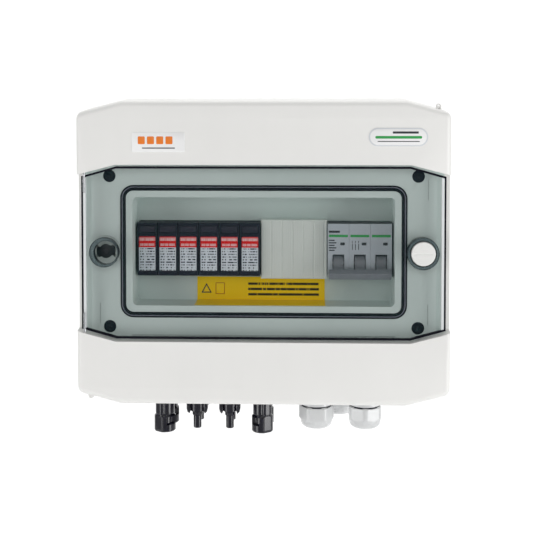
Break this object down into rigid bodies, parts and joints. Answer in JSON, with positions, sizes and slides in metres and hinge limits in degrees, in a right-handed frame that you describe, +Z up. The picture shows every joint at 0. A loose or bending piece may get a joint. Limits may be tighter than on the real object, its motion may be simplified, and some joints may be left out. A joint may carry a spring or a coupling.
{
  "type": "dc combiner box",
  "caption": "Wall-mounted plastic combiner box with a hinged clear door over surge arresters and a breaker, with solar connectors and cable glands below.",
  "frame": {"origin": "centre of the back face, on the wall, midway between the four wall fixing holes", "axes": "+Z up, the front with its door looks along -Y, +X to the right when the box is seen from the front"},
  "size_m": [0.314, 0.1423, 0.2945],
  "materials": {
    "housing": "fine satin moulding",
    "clear_door": "smoky transparent polycarbonate",
    "rubber": "matt seal",
    "black_plastic": "semi-gloss",
    "knob": "satin",
    "steel": "zinc plated",
    "arrester": "fine matt",
    "breaker": "satin",
    "lever": "satin",
    "strip": "satin",
    "contact": "tin plated",
    "gland": "polyamide",
    "lead_red": "cable sheath",
    "lead_black": "cable sheath",
    "lead_green": "cable sheath",
    "brass": "bright",
    "label": "printed film",
    "badge": "printed plate"
  },
  "bodies": {
    "enclosure": {"back_box": "housing", "front_cover": "housing", "cover_seal": "rubber", "cover_screws": "steel", "screw_caps": "black_plastic", "window_seal": "rubber", "hinge_pins": "steel", "din_rail": "steel", "rail_screws": "steel", "spd_base_left": "arrester", "spd_base_right": "arrester", "mcb_pole_1": "breaker", "mcb_pole_2": "breaker", "mcb_pole_3": "breaker", "mcb_pivot": "steel", "terminal_screws": "steel", "blank_strip": "strip", "earth_bar": "brass", "earth_lead": "lead_green", "pv_wide_front": "black_plastic", "pv_wide_rear": "black_plastic", "pv_slim_front": "black_plastic", "pv_slim_rear": "black_plastic", "pv_locknuts": "black_plastic", "pv_contacts": "contact", "gland_body_1": "gland", "gland_body_2": "gland", "gland_body_3": "gland", "gland_seals": "rubber", "gland_locknuts": "gland", "dc_leads_red": "lead_red", "dc_leads_black": "lead_black", "warning_label": "label", "badges": "badge"},
    "door": {"door_panel": "clear_door"},
    "latch": {"latch_knob": "knob", "latch_cam": "black_plastic", "latch_clip": "steel"},
    "toggle": {"mcb_levers": "lever", "mcb_tie_bar": "lever"},
    "plug_1": {"spd_plug_1": "arrester", "spd_blades_1": "contact"},
    "plug_2": {"spd_plug_2": "arrester", "spd_blades_2": "contact"},
    "plug_3": {"spd_plug_3": "arrester", "spd_blades_3": "contact"},
    "plug_4": {"spd_plug_4": "arrester", "spd_blades_4": "contact"},
    "plug_5": {"spd_plug_5": "arrester", "spd_blades_5": "contact"},
    "plug_6": {"spd_plug_6": "arrester", "spd_blades_6": "contact"},
    "clip_1": {"rail_clip_1": "black_plastic"},
    "clip_2": {"rail_clip_2": "black_plastic"},
    "clip_3": {"rail_clip_3": "black_plastic"},
    "clip_4": {"rail_clip_4": "black_plastic"},
    "clip_5": {"rail_clip_5": "black_plastic"},
    "nut_1": {"gland_nut_1": "gland"},
    "nut_2": {"gland_nut_2": "gland"},
    "nut_3": {"gland_nut_3": "gland"}
  },
  "joints": [
    {"name": "door_hinge", "type": "hinge", "parent": "enclosure", "child": "door", "pos_m": [-0.1482, -0.1368, 0], "axis": [0, 0, -1], "range_deg": [0, 110]},
    {"name": "latch_turn", "type": "hinge", "parent": "door", "child": "latch", "pos_m": [0.132, -0.13, 0], "axis": [0, -1, 0], "range_deg": [0, 90]},
    {"name": "breaker_toggle", "type": "hinge", "parent": "enclosure", "child": "toggle", "pos_m": [0.0822, -0.1125, -0.011], "axis": [-1, 0, 0], "range_deg": [0, 76]},
    {"name": "plug_pull_1", "type": "slide", "parent": "enclosure", "child": "plug_1", "axis": [0, -1, 0], "range_m": [0, 0.016]},
    {"name": "plug_pull_2", "type": "slide", "parent": "enclosure", "child": "plug_2", "axis": [0, -1, 0], "range_m": [0, 0.016]},
    {"name": "plug_pull_3", "type": "slide", "parent": "enclosure", "child": "plug_3", "axis": [0, -1, 0], "range_m": [0, 0.016]},
    {"name": "plug_pull_4", "type": "slide", "parent": "enclosure", "child": "plug_4", "axis": [0, -1, 0], "range_m": [0, 0.016]},
    {"name": "plug_pull_5", "type": "slide", "parent": "enclosure", "child": "plug_5", "axis": [0, -1, 0], "range_m": [0, 0.016]},
    {"name": "plug_pull_6", "type": "slide", "parent": "enclosure", "child": "plug_6", "axis": [0, -1, 0], "range_m": [0, 0.016]},
    {"name": "foot_slide_1", "type": "slide", "parent": "enclosure", "child": "clip_1", "axis": [0, 0, -1], "range_m": [0, 0.003], "stiffness_N_per_m": 1500},
    {"name": "foot_slide_2", "type": "slide", "parent": "enclosure", "child": "clip_2", "axis": [0, 0, -1], "range_m": [0, 0.003], "stiffness_N_per_m": 1500},
    {"name": "foot_slide_3", "type": "slide", "parent": "enclosure", "child": "clip_3", "axis": [0, 0, -1], "range_m": [0, 0.003], "stiffness_N_per_m": 1500},
    {"name": "foot_slide_4", "type": "slide", "parent": "enclosure", "child": "clip_4", "axis": [0, 0, -1], "range_m": [0, 0.003], "stiffness_N_per_m": 1500},
    {"name": "foot_slide_5", "type": "slide", "parent": "enclosure", "child": "clip_5", "axis": [0, 0, -1], "range_m": [0, 0.003], "stiffness_N_per_m": 1500},
    {"name": "nut_turn_1", "type": "hinge", "parent": "enclosure", "child": "nut_1", "pos_m": [0.0454, -0.072, -0.15], "axis": [0, 0, 1], "range_deg": [0, 180]},
    {"name": "nut_turn_2", "type": "hinge", "parent": "enclosure", "child": "nut_2", "pos_m": [0.0884, -0.072, -0.15], "axis": [0, 0, 1], "range_deg": [0, 180]},
    {"name": "nut_turn_3", "type": "hinge", "parent": "enclosure", "child": "nut_3", "pos_m": [0.0668, -0.028, -0.15], "axis": [0, 0, 1], "range_deg": [0, 180]}
  ]
}
